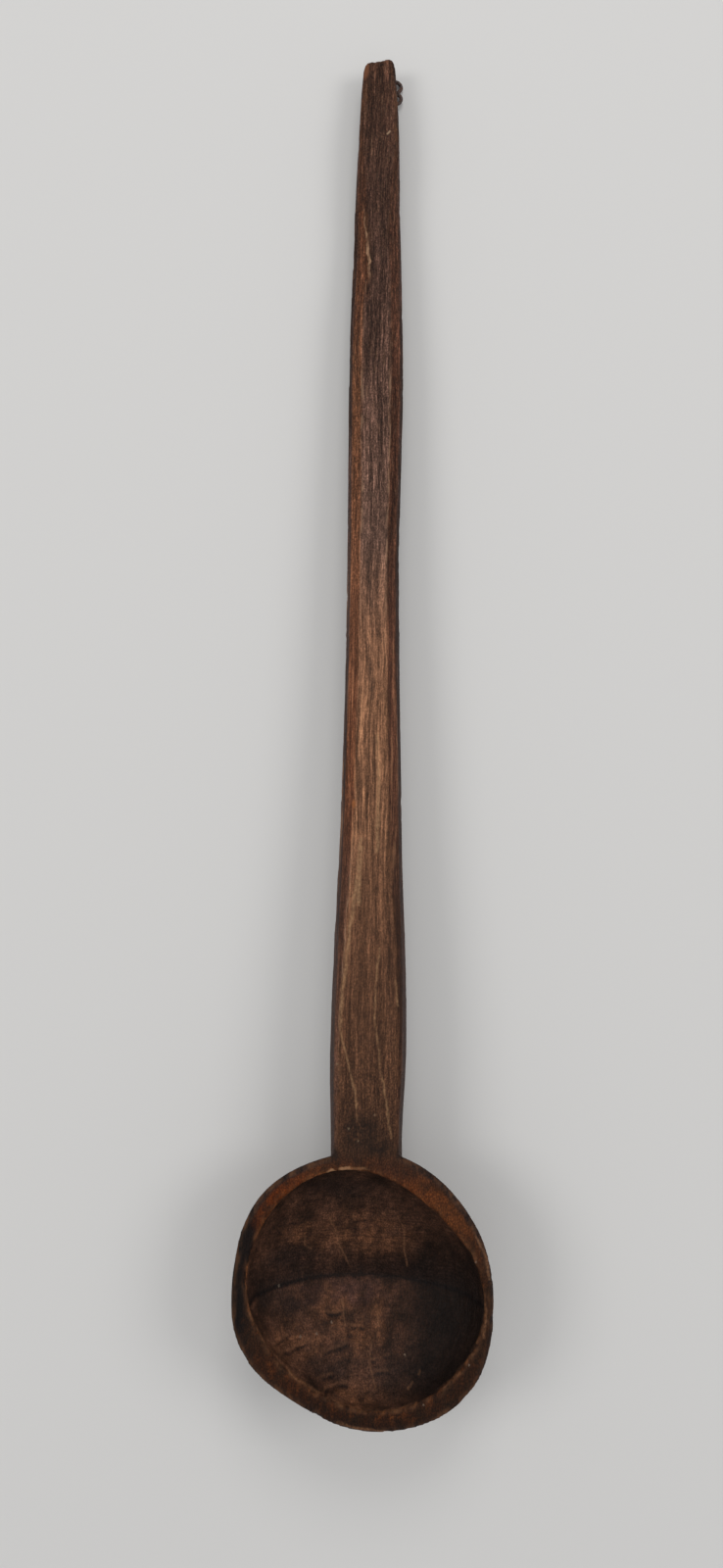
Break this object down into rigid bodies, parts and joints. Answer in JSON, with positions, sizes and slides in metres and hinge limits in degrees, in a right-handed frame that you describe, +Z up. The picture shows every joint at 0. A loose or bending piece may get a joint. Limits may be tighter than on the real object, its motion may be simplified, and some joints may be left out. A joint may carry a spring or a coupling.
{
  "type": "wooden spoon",
  "caption": "Long-handled serving spoon carved from one piece of dark wood, with a deep round bowl, a faceted handle and a small wire loop at the tip to hang it by.",
  "frame": {"origin": "On the table, under the middle of the part's bounding box, with the spoon lying on its back.", "axes": "+Y runs from the bowl to the tip of the handle, +X is the right-hand side of the picture, +Z is up, out of the open bowl."},
  "size_m": [0.1212, 0.677, 0.0487],
  "materials": {
    "wood": "bare carved wood, dark and worn, dull sheen",
    "iron_wire": "dark, lightly rusted wire"
  },
  "bodies": {
    "spoon": {"carved_spoon": "wood", "loop_staple": "iron_wire"},
    "loop": {"hanging_loop": "iron_wire"}
  },
  "joints": [
    {"name": "loop_swing", "type": "hinge", "parent": "spoon", "child": "loop", "pos_m": [0.00047, 0.32828, 0.0034], "axis": [0, 0.9987, -0.0508], "range_deg": [-8, 170]}
  ]
}
